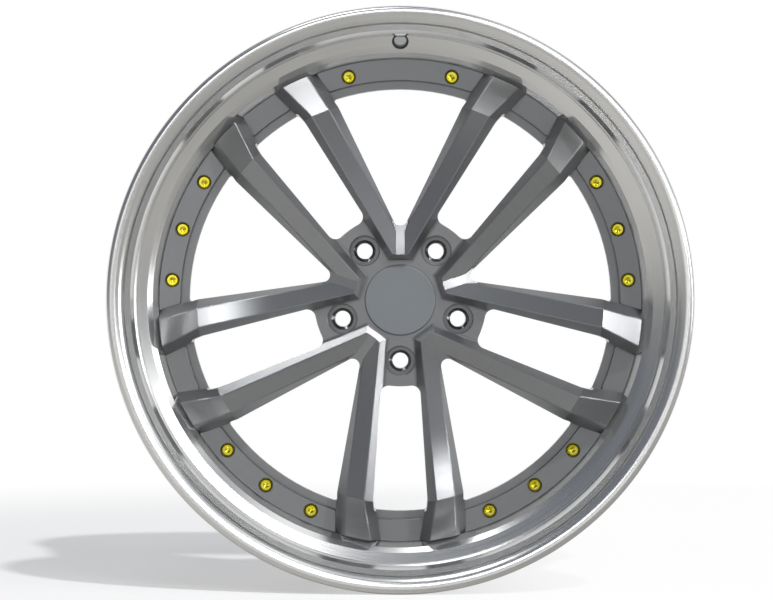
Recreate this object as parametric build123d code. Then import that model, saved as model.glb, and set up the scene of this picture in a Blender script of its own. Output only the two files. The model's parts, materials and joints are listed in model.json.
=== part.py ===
from build123d import *
import os
from math import cos, radians, sin, tan

# A three-piece road wheel: a turned lip and a turned inner half, bolted together
# through the flange of a forged centre with five V-shaped twin spokes.
# It is modelled face up: X right, Y up on the face, Z towards the viewer, and Z = 0
# at the middle of the rim width. stand_up() then turns the axle to Y, face to -Y.

# Rim (mm)
BEAD_SEAT_DIAMETER = 508.0
RIM_WIDTH = 241.3
FLANGE_HEIGHT = 17.5
FLANGE_THICKNESS = 11.0
FLANGE_ROLL = 4.5
BEAD_SEAT_WIDTH = 24.0
BEAD_SEAT_TAPER = 5.0
BEAD_CORNER = 6.0
HUMP_HEIGHT = 1.2
HUMP_LENGTH = 3.0
RIM_WALL = 6.0
INNER_WALL = 4.5
SLOPE_LENGTH = 90.0
WELL_LENGTH = 27.0

# Lip
LIP_DEPTH = 60.0
LIP_BULGE = 13.5
LIP_BULGE_TILT = 60.0
LIP_EASE = 0.5
LIP_EDGE = 0.6
LIP_COVE_WIDTH = 4.7
LIP_COVE_DEPTH = 5.2
LIP_RUN_DEPTH = 7.5
LIP_WALL_DEPTH = 40.5
VALVE_LEDGE = 10.0
VALVE_LEDGE_TILT = 26.5
LIP_STEP_WIDTH = 9.6
LIP_STEP_DEPTH = 10.5
LIP_STEP_BREAK = 0.36
VALVE_HOLE_RADIUS = 5.75
VALVE_SPOTFACE_RADIUS = 7.8
VALVE_SPOTFACE_DEPTH = 1.6

# Joint between the halves and the centre
JOINT_FLANGE = 6.0
JOINT_FLANGE_WIDTH = 25.0
REGISTER_CLEARANCE = 0.3
SEAL_CHAMFER = 3.0
SEAL_CLEARANCE = 0.1
SEAL_CROWN = 0.8

# Hub of the centre
OFFSET = 40.0
HUB_THICKNESS = 47.5
HUB_BORE_RADIUS = 33.55
HUB_BORE_LENGTH = 20.0
HUB_BORE_CHAMFER = 1.5
HUB_FACE_RADIUS = 72.0
HUB_DRAFT = 5.0
HUB_WINDOW_RADIUS = 80.9
LUG_CIRCLE_DIAMETER = 114.3
LUG_HOLE_RADIUS = 7.5
LUG_SEAT_RADIUS = 10.3
LUG_SEAT_ANGLE = 60.0
LUG_POCKET_RADIUS = 13.6
LUG_POCKET_DEPTH = 14.0
LUG_POCKET_BREAK = 0.8

# Flange of the centre
DISC_FLANGE = 12.0
PAD_WIDTH = 20.4
PAD_HEIGHT = 5.0
PAD_CORNER = 3.0
PAD_BREAK = 0.8
PAD_GAP = 1.2
OPENING_MARGIN = 28.1
OPENING_CORNER = 3.0

# Spokes: angles are from the middle line of a V
SPOKE_PAIRS = 5
RIDGE_HEIGHT = 11.0
KINK_DEPTH = 16.0
KINK_MARGIN = 38.4
TIP_DEPTH = 44.0
FACE_DROP = 5.0
BEVEL_ANGLE = 60.0
BEVEL_REACH = 2.65
RIDGE_BREAK = 0.8
FOOT_FILLET = 3.5
ROOT_HALF_WIDTH = 7.4
ROOT_RIDGE = 43.1
VALLEY_HALF_WIDTH = 4.2
WIDE_RIDGE_ROOT = 57.6
NARROW_RIDGE_KINK_ANGLE = 25.8
WIDE_RIDGE_KINK_ANGLE = 20.5
NARROW_RIDGE_TIP_ANGLE = 29.0
WIDE_RIDGE_TIP_ANGLE = 22.7
WIDE_WINDOW_TIP = 61.0
WIDE_WINDOW_KINK_ANGLE = 17.8
WIDE_WINDOW_TIP_ANGLE = 20.7
WIDE_WINDOW_CORNER = 6.5
NARROW_WINDOW_HUB_HALF = 18.0
NARROW_WINDOW_KINK_ANGLE = 7.75
NARROW_WINDOW_TIP_ANGLE = 5.6
NARROW_WINDOW_CORNER = 8.2
WINDOW_KINK_RADIUS = 18.0
SPOKE_BACK_DEPTH = 62.0

# Assembly bolts and nuts
BOLT_RADIUS = 4.0
BOLT_HOLE_RADIUS = 4.3
BOLT_HEAD_RADIUS = 6.5
BOLT_HEAD_HEIGHT = 7.0
BOLT_HEAD_CHAMFER = 1.7
BOLT_SOCKET_FLATS = 6.0
BOLT_SOCKET_DEPTH = 4.0
BOLT_SOCKET_POINT = 1.5
BOLT_COUNTERBORE_RADIUS = 7.1
BOLT_COUNTERBORE_DEPTH = 7.5
BOLT_PROUD = 2.5
BOLT_SPREAD = 13.0
NUT_FLATS = 13.0
NUT_HEIGHT = 8.0
THREAD_CLEARANCE = 0.05

# Centre cap
CAP_RADIUS = 33.2
CAP_CLEARANCE = 0.3
CAP_FACE = 5.0
CAP_PROUD = 1.5
CAP_EDGE = 1.5
CAP_BORE_RADIUS = 29.0
CAP_SKIRT_WALL = 2.2
CAP_SKIRT_LENGTH = 14.0
CAP_SLOTS = 3
CAP_SLOT_WIDTH = 8.0
CAP_RING_WIRE = 1.6
CAP_RING_CLEARANCE = 0.1

# Levels along the axle, from the front crest of the lip to the back
crest_z = RIM_WIDTH / 2 + FLANGE_THICKNESS
pad_z = crest_z - LIP_DEPTH
strip_z = pad_z - PAD_HEIGHT
flange_back_z = pad_z - DISC_FLANGE
joint_z = flange_back_z - JOINT_FLANGE
nut_z = joint_z - JOINT_FLANGE
hub_front_z = OFFSET + HUB_THICKNESS
ridge_z = hub_front_z + RIDGE_HEIGHT
kink_z = crest_z - KINK_DEPTH
tip_z = crest_z - TIP_DEPTH
spoke_back_z = crest_z - SPOKE_BACK_DEPTH
under_z = OFFSET - DISC_FLANGE

# Radii, from the bead seat inwards
bead_r = BEAD_SEAT_DIAMETER / 2
flange_r = bead_r + FLANGE_HEIGHT
seat_r = bead_r - BEAD_SEAT_WIDTH * tan(radians(BEAD_SEAT_TAPER))
wall_r = seat_r + HUMP_HEIGHT - RIM_WALL
ledge_r = wall_r - VALVE_LEDGE
register_r = ledge_r - LIP_STEP_WIDTH
well_r = register_r + RIM_WALL
disc_r = register_r - REGISTER_CLEARANCE
pad_inner_r = disc_r - PAD_WIDTH
opening_r = disc_r - OPENING_MARGIN
kink_r = disc_r - KINK_MARGIN
bolt_circle_r = disc_r - PAD_WIDTH / 2 - PAD_GAP
joint_bore_r = register_r - JOINT_FLANGE_WIDTH
hub_r = HUB_WINDOW_RADIUS + NARROW_WINDOW_CORNER

# Angles of the V's, of the gaps between them and of the assembly bolts, clockwise from the top
pair_angle = 360 / SPOKE_PAIRS
pair_angles = [pair_angle * k for k in range(SPOKE_PAIRS)]
gap_angles = [angle + pair_angle / 2 for angle in pair_angles]
side_bolts = [angle + side for angle in pair_angles for side in (-BOLT_SPREAD, BOLT_SPREAD)]
bolt_angles = side_bolts + pair_angles[1:]


def polar(radius, angle):
    """A point on the face at an angle clockwise from the top."""
    return Vector(radius * sin(radians(angle)), radius * cos(radians(angle)), 0)


def at_height(point, height):
    """The same point of the face at another height."""
    return Vector(point.X, point.Y, height)


def turned(outline):
    """A turned piece from corners of (radius, height, rounding) around its section."""
    section = make_face(Polyline([(r, 0, z) for r, z, _ in outline], close=True)).face()
    for r, z, rounding in outline:
        if rounding:
            corner = section.vertices().sort_by_distance((r, 0, z))[0]
            section = section.fillet_2d(rounding, [corner])
    return revolve(section, Axis.Z)


def rounded(sketch, corners):
    """A flat outline with given corners of (point, radius) rounded."""
    face = sketch.face()
    for point, radius in corners:
        corner = face.vertices().sort_by_distance(point)[0]
        face = face.fillet_2d(radius, [corner])
    return face


def slab(face, low, high):
    """A flat outline raised from one height to another."""
    return extrude(Pos(0, 0, low) * face, high - low, dir=(0, 0, 1))


def around(piece, angles):
    """Copies of a piece at angles clockwise from the top."""
    return [Rot(0, 0, -angle) * piece for angle in angles]


def stand_up(piece):
    """Turns the axle from Z to Y, with the face to -Y and the top up."""
    return Rot(90, 0, 0) * piece


# Spokes

def towards(start, end, distance):
    """The point at a distance from one point towards another."""
    return start + (end - start).normalized() * distance


def spoke_section(narrow_ridge, wide_ridge, along, bevel_drop):
    """The cross-section of an arm: walls, a bevel on each side and the tilted main face."""
    across = at_height(narrow_ridge - wide_ridge, 0).normalized()
    skew = abs(across.cross(along).Z)
    skirt = bevel_drop / tan(radians(BEVEL_ANGLE)) / skew
    drop = Vector(0, 0, bevel_drop)
    narrow_foot = narrow_ridge + across * skirt - drop
    wide_foot = wide_ridge - across * skirt - drop
    corners = [
        at_height(narrow_foot, OFFSET),
        narrow_foot,
        towards(narrow_ridge, narrow_foot, RIDGE_BREAK),
        towards(narrow_ridge, wide_ridge, RIDGE_BREAK),
        towards(wide_ridge, narrow_ridge, RIDGE_BREAK),
        towards(wide_ridge, wide_foot, RIDGE_BREAK),
        wide_foot,
        at_height(wide_foot, OFFSET),
    ]
    return make_face(Polyline(corners, close=True))


def ridge_lines():
    """Root and kink points of the right arm's narrow-side and wide-side ridges, in plan."""
    narrow_kink = polar(kink_r, NARROW_RIDGE_KINK_ANGLE)
    wide_kink = polar(kink_r, WIDE_RIDGE_KINK_ANGLE)
    root_corner = Vector(ROOT_HALF_WIDTH, ROOT_RIDGE, 0)
    rise = narrow_kink - root_corner
    narrow_root = root_corner - rise * (ROOT_HALF_WIDTH / rise.X)
    return narrow_root, narrow_kink, Vector(0, WIDE_RIDGE_ROOT, 0), wide_kink


def part_way(start, end, share):
    """The point at a share of the way from one point to another."""
    return start + (end - start) * share


def make_arm():
    """The right arm of the V at the top: a curved run out to the kink, then a flat end."""
    face_drop = Vector(0, 0, FACE_DROP)
    narrow_root, narrow_kink, wide_root, wide_kink = ridge_lines()
    along = (narrow_kink - narrow_root).normalized()
    hub_share = (hub_r - narrow_root.Y) / (kink_r - narrow_root.Y)
    bevel_drop = RIDGE_HEIGHT + (kink_z - ridge_z) * hub_share ** 2 + BEVEL_REACH
    run = []
    for share in (0, 1 / 3, 2 / 3, 1):
        height = ridge_z + (kink_z - ridge_z) * share ** 2
        narrow = at_height(part_way(narrow_root, narrow_kink, share), height)
        wide = at_height(part_way(wide_root, wide_kink, share), height)
        run.append(spoke_section(narrow, wide - face_drop, along, bevel_drop))
    beyond = 1 + PAD_GAP / KINK_MARGIN
    height = kink_z + (tip_z - kink_z) * beyond
    narrow_end = part_way(narrow_kink, polar(disc_r, NARROW_RIDGE_TIP_ANGLE), beyond)
    wide_end = part_way(wide_kink, polar(disc_r, WIDE_RIDGE_TIP_ANGLE), beyond)
    end_along = (narrow_end - narrow_kink).normalized()
    narrow_end = at_height(narrow_end, height)
    wide_end = at_height(wide_end, height) - face_drop
    end = spoke_section(narrow_end, wide_end, end_along, bevel_drop)
    return loft(run) + loft([run[-1], end], ruled=True)


def make_spoke_pair():
    """A V of two arms, with the valley strip between them and the bevelled root."""
    arm = make_arm()
    narrow_root, narrow_kink, wide_root, wide_kink = ridge_lines()
    narrow = part_way(narrow_root, narrow_kink, VALLEY_HALF_WIDTH / narrow_kink.X)
    wide = part_way(wide_root, wide_kink, VALLEY_HALF_WIDTH / wide_kink.X)
    slope = FACE_DROP / (wide.Y - narrow.Y)
    valley_end = WIDE_WINDOW_TIP + 2 * WIDE_WINDOW_CORNER
    valley = make_face(
        Polyline(
            (0, narrow.Y, OFFSET),
            (0, narrow.Y, ridge_z),
            (0, valley_end, ridge_z - slope * (valley_end - narrow.Y)),
            (0, valley_end, OFFSET),
            close=True,
        )
    )
    strip = extrude(valley, ROOT_HALF_WIDTH, dir=(1, 0, 0), both=True)
    run_out = RIDGE_HEIGHT / tan(radians(BEVEL_ANGLE))
    root_cut = make_face(
        Polyline(
            (0, ROOT_RIDGE + run_out, ridge_z + RIDGE_HEIGHT),
            (0, ROOT_RIDGE - 2 * run_out, ridge_z - 2 * RIDGE_HEIGHT),
            (0, -ROOT_RIDGE, ridge_z - 2 * RIDGE_HEIGHT),
            (0, -ROOT_RIDGE, ridge_z + RIDGE_HEIGHT),
            close=True,
        )
    )
    pair = arm + mirror(arm, Plane.YZ) + strip
    return pair - extrude(root_cut, ROOT_RIDGE, dir=(1, 0, 0), both=True)


# Windows and pads

def mirrored(right_half):
    """A closed outline from its right half, read from the hub outwards."""
    left_half = [(-point.X, point.Y) for point in reversed(right_half) if point.X > 0]
    return make_face(Polyline([(point.X, point.Y) for point in right_half] + left_half, close=True))


def between(outline, inner_r, outer_r):
    """The part of an outline that lies between two circles about the axle."""
    return outline & (Circle(outer_r) - Circle(inner_r)).face()


def both_sides(point):
    """A point of the face and its mirror image."""
    return [point, Vector(-point.X, point.Y, 0)]


def wide_window():
    """The window inside the V at the top."""
    tip = Vector(0, WIDE_WINDOW_TIP, 0)
    kink = polar(kink_r, WIDE_WINDOW_KINK_ANGLE)
    edge = polar(disc_r, WIDE_WINDOW_TIP_ANGLE)
    outline = between(mirrored([tip, kink, edge]), HUB_BORE_RADIUS, opening_r)
    share = (opening_r - kink_r) / (disc_r - kink_r)
    corner = kink + (edge - kink) * share
    rounding = [(tip, WIDE_WINDOW_CORNER)]
    rounding += [(point, WINDOW_KINK_RADIUS) for point in both_sides(kink)]
    rounding += [(point, OPENING_CORNER) for point in both_sides(corner)]
    return rounded(outline, rounding)


def narrow_window():
    """The window between two V's, turned to the top."""
    hub = Vector(NARROW_WINDOW_HUB_HALF, HUB_WINDOW_RADIUS - NARROW_WINDOW_CORNER, 0)
    kink = polar(kink_r, NARROW_WINDOW_KINK_ANGLE)
    edge = polar(disc_r, NARROW_WINDOW_TIP_ANGLE)
    outline = between(mirrored([hub, kink, edge]), HUB_WINDOW_RADIUS, opening_r)
    share = (opening_r - kink_r) / (disc_r - kink_r)
    corner = kink + (edge - kink) * share
    rounding = [(point, NARROW_WINDOW_CORNER) for point in both_sides(hub)]
    rounding += [(point, WINDOW_KINK_RADIUS) for point in both_sides(kink)]
    rounding += [(point, OPENING_CORNER) for point in both_sides(corner)]
    return rounded(outline, rounding)


def pad(kink_angle, edge_angle):
    """A raised pad on the flange, between two arms and just clear of them."""
    kink = polar(kink_r, kink_angle) - Vector(PAD_GAP, 0, 0)
    edge = polar(disc_r, edge_angle) - Vector(PAD_GAP, 0, 0)
    outline = between(mirrored([kink, edge, edge + (edge - kink)]), pad_inner_r, disc_r + PAD_WIDTH)
    share = (pad_inner_r - kink_r) / (disc_r - kink_r)
    corner = kink + (edge - kink) * share
    face = rounded(outline, [(point, PAD_CORNER) for point in both_sides(corner)])
    block = slab(face, flange_back_z, pad_z)
    return chamfer(block.faces().sort_by(Axis.Z)[-1].edges(), PAD_BREAK)


# Centre

def lug_pocket():
    """The pocket, cone seat and hole of the top wheel nut."""
    floor_z = hub_front_z - LUG_POCKET_DEPTH
    seat_z = floor_z - (LUG_SEAT_RADIUS - LUG_HOLE_RADIUS) / tan(radians(LUG_SEAT_ANGLE / 2))
    tool = turned([
        (0, under_z, 0),
        (LUG_HOLE_RADIUS, under_z, 0),
        (LUG_HOLE_RADIUS, seat_z, 0),
        (LUG_SEAT_RADIUS, floor_z, 0),
        (LUG_POCKET_RADIUS, floor_z, 0),
        (LUG_POCKET_RADIUS, hub_front_z - LUG_POCKET_BREAK, 0),
        (LUG_POCKET_RADIUS + LUG_POCKET_BREAK, hub_front_z, 0),
        (LUG_POCKET_RADIUS + LUG_POCKET_BREAK, crest_z, 0),
        (0, crest_z, 0),
    ])
    return Pos(0, LUG_CIRCLE_DIAMETER / 2, 0) * tool


def bolt_bore():
    """The counterbored hole of the top assembly bolt."""
    floor_z = pad_z - BOLT_COUNTERBORE_DEPTH
    tool = turned([
        (0, nut_z - NUT_HEIGHT, 0),
        (BOLT_HOLE_RADIUS, nut_z - NUT_HEIGHT, 0),
        (BOLT_HOLE_RADIUS, floor_z, 0),
        (BOLT_COUNTERBORE_RADIUS, floor_z, 0),
        (BOLT_COUNTERBORE_RADIUS, crest_z, 0),
        (0, crest_z, 0),
    ])
    return Pos(0, bolt_circle_r, 0) * tool


def make_centre():
    """The forged centre: hub, spokes, bolt flange with its pads, and the turned back."""
    hub = slab(Circle(hub_r).face(), OFFSET, hub_front_z)
    flange = Circle(disc_r + PAD_GAP) - Circle(opening_r - OPENING_CORNER)
    ring = slab(flange.face(), OFFSET, strip_z)
    wide_pad = pad(WIDE_WINDOW_KINK_ANGLE, WIDE_WINDOW_TIP_ANGLE)
    narrow_pad = pad(NARROW_WINDOW_KINK_ANGLE, NARROW_WINDOW_TIP_ANGLE)
    pads = around(wide_pad, pair_angles) + around(narrow_pad, gap_angles)
    body = hub + around(make_spoke_pair(), pair_angles) + ring + pads
    body &= slab(Circle(disc_r).face(), OFFSET, crest_z)
    body -= around(slab(wide_window(), under_z, crest_z), pair_angles)
    body -= around(slab(narrow_window(), under_z, crest_z), gap_angles)
    feet = body.edges().filter_by_position(Axis.Z, hub_front_z, hub_front_z)
    body = fillet(feet.filter_by(lambda edge: edge.is_interior), FOOT_FILLET)
    body -= turned([
        (HUB_FACE_RADIUS, under_z, 0),
        (HUB_FACE_RADIUS, OFFSET, 0),
        (HUB_FACE_RADIUS + HUB_DRAFT, spoke_back_z, HUB_DRAFT),
        (opening_r - (spoke_back_z - flange_back_z), spoke_back_z, 0),
        (opening_r, flange_back_z, 0),
        (disc_r + PAD_WIDTH, flange_back_z, 0),
        (disc_r + PAD_WIDTH, under_z, 0),
    ])
    cap_floor_z = hub_front_z + CAP_PROUD - CAP_FACE
    body -= turned([
        (0, under_z, 0),
        (HUB_BORE_RADIUS + HUB_BORE_CHAMFER, under_z, 0),
        (HUB_BORE_RADIUS + HUB_BORE_CHAMFER, OFFSET, 0),
        (HUB_BORE_RADIUS, OFFSET + HUB_BORE_CHAMFER, 0),
        (HUB_BORE_RADIUS, OFFSET + HUB_BORE_LENGTH, 0),
        (CAP_BORE_RADIUS, OFFSET + HUB_BORE_LENGTH, 0),
        (CAP_BORE_RADIUS, cap_floor_z, 0),
        (CAP_RADIUS + CAP_CLEARANCE, cap_floor_z, 0),
        (CAP_RADIUS + CAP_CLEARANCE, crest_z, 0),
        (0, crest_z, 0),
    ])
    body -= around(lug_pocket(), gap_angles)
    body -= around(bolt_bore(), bolt_angles)
    return body


# Rim halves

def make_outer_half():
    """The lip: rolled flange, stepped wall with the valve ledge, and the joint flange."""
    tilt = radians(LIP_BULGE_TILT)
    tangent = LIP_BULGE * tan(tilt / 2)
    bulge_r = flange_r - FLANGE_ROLL - tangent - LIP_EASE
    brow_r = bulge_r - (tangent + LIP_EASE) * cos(tilt)
    brow_z = crest_z - (tangent + LIP_EASE) * sin(tilt)
    cove_z = brow_z - LIP_COVE_DEPTH
    ledge_tilt = radians(VALVE_LEDGE_TILT)
    ledge_top_z = crest_z - LIP_WALL_DEPTH
    ledge_z = ledge_top_z - VALVE_LEDGE * tan(ledge_tilt)
    step_z = ledge_z - LIP_STEP_DEPTH
    seat_z = crest_z - FLANGE_THICKNESS - BEAD_SEAT_WIDTH
    body = turned([
        (flange_r, crest_z, FLANGE_ROLL),
        (bulge_r, crest_z, LIP_BULGE),
        (brow_r, brow_z, LIP_EDGE),
        (brow_r - LIP_COVE_WIDTH, cove_z, LIP_EDGE),
        (wall_r, cove_z - LIP_RUN_DEPTH, LIP_EDGE),
        (wall_r, ledge_top_z, LIP_EDGE),
        (ledge_r, ledge_z, LIP_EDGE),
        (ledge_r - LIP_STEP_WIDTH / 2, ledge_z - LIP_STEP_DEPTH * LIP_STEP_BREAK, LIP_EDGE),
        (register_r, step_z, LIP_EDGE),
        (register_r, flange_back_z, 0),
        (joint_bore_r, flange_back_z, 0),
        (joint_bore_r, joint_z, 0),
        (well_r - SEAL_CHAMFER, joint_z, 0),
        (well_r, joint_z + SEAL_CHAMFER, 0),
        (well_r, step_z - RIM_WALL / 2, 0),
        (ledge_r + RIM_WALL * sin(ledge_tilt), ledge_z - RIM_WALL * cos(ledge_tilt), 0),
        (wall_r + RIM_WALL, ledge_top_z - RIM_WALL * (1 / cos(ledge_tilt) - tan(ledge_tilt)), 0),
        (seat_r + HUMP_HEIGHT, seat_z - HUMP_LENGTH, 0),
        (seat_r, seat_z, 0),
        (bead_r, crest_z - FLANGE_THICKNESS, BEAD_CORNER),
        (flange_r, crest_z - FLANGE_THICKNESS, FLANGE_ROLL),
    ])
    ledge_middle = Vector(0, wall_r - VALVE_LEDGE / 2, (ledge_top_z + ledge_z) / 2)
    hole_axis = Vector(0, -sin(ledge_tilt), cos(ledge_tilt))
    ledge_plane = Plane(ledge_middle, x_dir=(1, 0, 0), z_dir=hole_axis)
    hole = Cylinder(VALVE_HOLE_RADIUS, LIP_DEPTH)
    spot_floor = -VALVE_SPOTFACE_DEPTH + LIP_STEP_DEPTH / 2
    spotface = Pos(0, 0, spot_floor) * Cylinder(VALVE_SPOTFACE_RADIUS, LIP_STEP_DEPTH)
    body -= ledge_plane * hole
    body -= ledge_plane * spotface
    return body - around(bolt_bore(), bolt_angles)


def make_inner_half():
    """The inner half: joint flange, drop well, barrel and the rear bead seat and flange."""
    slope_z = joint_z - WELL_LENGTH
    barrel_z = slope_z - SLOPE_LENGTH
    seat_z = -crest_z + FLANGE_THICKNESS + BEAD_SEAT_WIDTH
    inner_r = seat_r - INNER_WALL
    body = turned([
        (joint_bore_r, joint_z, 0),
        (well_r - SEAL_CHAMFER, joint_z, 0),
        (well_r, joint_z - SEAL_CHAMFER, 0),
        (well_r, slope_z, 0),
        (seat_r, barrel_z, 0),
        (seat_r, seat_z + 2 * HUMP_LENGTH, 0),
        (seat_r + HUMP_HEIGHT, seat_z + HUMP_LENGTH, 0),
        (seat_r, seat_z, 0),
        (bead_r, -crest_z + FLANGE_THICKNESS, BEAD_CORNER),
        (flange_r, -crest_z + FLANGE_THICKNESS, FLANGE_ROLL),
        (flange_r, -crest_z, FLANGE_ROLL),
        (bead_r, -crest_z, 0),
        (inner_r, -crest_z + FLANGE_THICKNESS + INNER_WALL, 0),
        (inner_r, barrel_z, 0),
        (well_r - INNER_WALL, slope_z, 0),
        (well_r - INNER_WALL, nut_z, 0),
        (joint_bore_r, nut_z, 0),
    ])
    return body - around(bolt_bore(), bolt_angles)


def make_sealant():
    """The bead of sealant in the groove between the two halves, on the tyre side."""
    ease = SEAL_CLEARANCE / sin(radians(45))
    return turned([
        (well_r - SEAL_CHAMFER + ease, joint_z, 0),
        (well_r, joint_z + SEAL_CHAMFER - ease, 0),
        (well_r + SEAL_CROWN, joint_z, 0),
        (well_r, joint_z - SEAL_CHAMFER + ease, 0),
    ])


# Fasteners and cap

def make_bolt():
    """The top assembly bolt, with a hexagon socket in its head."""
    floor_z = pad_z - BOLT_COUNTERBORE_DEPTH
    head_z = floor_z + BOLT_HEAD_HEIGHT
    body = turned([
        (0, nut_z - NUT_HEIGHT - BOLT_PROUD, 0),
        (BOLT_RADIUS, nut_z - NUT_HEIGHT - BOLT_PROUD, 0),
        (BOLT_RADIUS, floor_z, 0),
        (BOLT_HEAD_RADIUS, floor_z, 0),
        (BOLT_HEAD_RADIUS, head_z - BOLT_HEAD_CHAMFER, 0),
        (BOLT_HEAD_RADIUS - BOLT_HEAD_CHAMFER, head_z, 0),
        (0, head_z, 0),
    ])
    socket = RegularPolygon(BOLT_SOCKET_FLATS / 2, 6, major_radius=False).face()
    socket_z = head_z - BOLT_SOCKET_DEPTH
    body -= slab(socket, socket_z, crest_z)
    body -= turned([
        (0, socket_z - BOLT_SOCKET_POINT, 0),
        (BOLT_SOCKET_FLATS / 2, socket_z, 0),
        (0, head_z, 0),
    ])
    return Pos(0, bolt_circle_r, 0) * body


def make_nut():
    """The nut behind the top assembly bolt."""
    hexagon = RegularPolygon(NUT_FLATS / 2, 6, major_radius=False)
    outline = hexagon - Circle(BOLT_RADIUS + THREAD_CLEARANCE)
    return Pos(0, bolt_circle_r, 0) * slab(outline.face(), nut_z - NUT_HEIGHT, nut_z)


def make_cap():
    """The centre cap: a flat face with a rounded edge and a slotted snap skirt."""
    face_z = hub_front_z + CAP_PROUD
    floor_z = face_z - CAP_FACE
    skirt_r = CAP_BORE_RADIUS - CAP_CLEARANCE
    end_z = floor_z - CAP_SKIRT_LENGTH
    body = turned([
        (0, face_z, 0),
        (CAP_RADIUS, face_z, CAP_EDGE),
        (CAP_RADIUS, floor_z, 0),
        (skirt_r, floor_z, 0),
        (skirt_r, end_z, 0),
        (skirt_r - CAP_SKIRT_WALL, end_z, 0),
        (skirt_r - CAP_SKIRT_WALL, floor_z, 0),
        (0, floor_z, 0),
    ])
    slot = slab(Rectangle(2 * CAP_RADIUS, CAP_SLOT_WIDTH).face(), end_z, floor_z - CAP_SKIRT_WALL)
    return body - around(slot, [180 / CAP_SLOTS * k for k in range(CAP_SLOTS)])


def make_cap_ring():
    """The flat wire ring that springs the cap's skirt outwards."""
    outer_r = CAP_BORE_RADIUS - CAP_CLEARANCE - CAP_SKIRT_WALL - CAP_RING_CLEARANCE
    top_z = hub_front_z + CAP_PROUD - CAP_FACE - CAP_SKIRT_LENGTH + 2 * CAP_RING_WIRE
    return turned([
        (outer_r, top_z, 0),
        (outer_r, top_z - CAP_RING_WIRE, 0),
        (outer_r - CAP_RING_WIRE, top_z - CAP_RING_WIRE, 0),
        (outer_r - CAP_RING_WIRE, top_z, 0),
    ])


# Write each piece to its own file
nodes = {
    "centre_disc": make_centre(),
    "outer_rim_half": make_outer_half(),
    "inner_rim_half": make_inner_half(),
    "joint_sealant": make_sealant(),
    "assembly_bolts": Compound(around(make_bolt(), bolt_angles)),
    "assembly_nuts": Compound(around(make_nut(), bolt_angles)),
    "centre_cap": make_cap(),
    "cap_spring_ring": make_cap_ring(),
}
os.makedirs("parts", exist_ok=True)
for name, piece in nodes.items():
    export_step(stand_up(piece), f"parts/{name}.step")
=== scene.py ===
"""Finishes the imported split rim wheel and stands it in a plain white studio."""

import json
import logging
import math
from dataclasses import dataclass, replace
from enum import Enum

import bmesh
import bpy
import numpy as np
from mathutils import Euler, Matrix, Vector

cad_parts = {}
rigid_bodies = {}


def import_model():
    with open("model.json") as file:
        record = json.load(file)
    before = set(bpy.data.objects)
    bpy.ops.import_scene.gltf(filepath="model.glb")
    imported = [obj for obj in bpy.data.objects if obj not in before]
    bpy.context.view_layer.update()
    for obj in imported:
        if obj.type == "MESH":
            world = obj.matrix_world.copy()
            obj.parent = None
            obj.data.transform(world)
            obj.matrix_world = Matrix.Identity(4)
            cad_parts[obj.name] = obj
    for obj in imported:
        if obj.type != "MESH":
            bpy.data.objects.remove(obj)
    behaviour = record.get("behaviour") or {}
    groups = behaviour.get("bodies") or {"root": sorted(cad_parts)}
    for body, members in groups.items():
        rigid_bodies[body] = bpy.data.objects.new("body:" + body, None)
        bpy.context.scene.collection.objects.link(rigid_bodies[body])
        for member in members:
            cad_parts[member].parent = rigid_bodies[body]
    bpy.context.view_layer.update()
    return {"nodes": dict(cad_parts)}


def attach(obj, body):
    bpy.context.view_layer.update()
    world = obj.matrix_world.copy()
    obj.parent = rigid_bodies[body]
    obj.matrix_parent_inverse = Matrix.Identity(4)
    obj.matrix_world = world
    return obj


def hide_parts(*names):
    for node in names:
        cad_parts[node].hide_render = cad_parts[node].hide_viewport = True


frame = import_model()

log = logging.getLogger("split_rim_wheel")

MM = 0.001
BODY = "root"
# The middle of a noise, which carries nearly all of it
NOISE_SPAN = (0.3, 0.7)
# How much of two arcs' shared side they may take up
ARC_ROOM = 0.98
# How near two points are joined, in metres
MERGE_DISTANCE = 1e-7
# Past this angle in degrees an edge stays sharp
SHARP_ANGLE = 40.0
# The strongest pull of large faces on the shading beside them
LARGE_FACE_PULL = 100
SMOOTHLY = "SMOOTHSTEP"

Colour = tuple[float, float, float]
Point = tuple[float, float, float]
Span = tuple[float, float]
Names = tuple[str, ...]
Socket = bpy.types.NodeSocket


class Node(Enum):
    """The wheel's solids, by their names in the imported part."""

    CENTRE = "centre_disc"
    OUTER_RIM = "outer_rim_half"
    INNER_RIM = "inner_rim_half"
    SEALANT = "joint_sealant"
    BOLTS = "assembly_bolts"
    NUTS = "assembly_nuts"
    CAP = "centre_cap"
    CAP_RING = "cap_spring_ring"


class Slot(Enum):
    """The record's material slots."""

    CENTRE = "brushed_centre"
    LIP = "polished_lip"
    BARREL = "turned_barrel"
    SEALANT = "sealant"
    BOLTS = "gold_bolts"
    NUTS = "steel_nuts"
    CAP = "grey_cap"
    CAP_RING = "spring_steel"


# Finishes


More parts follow.
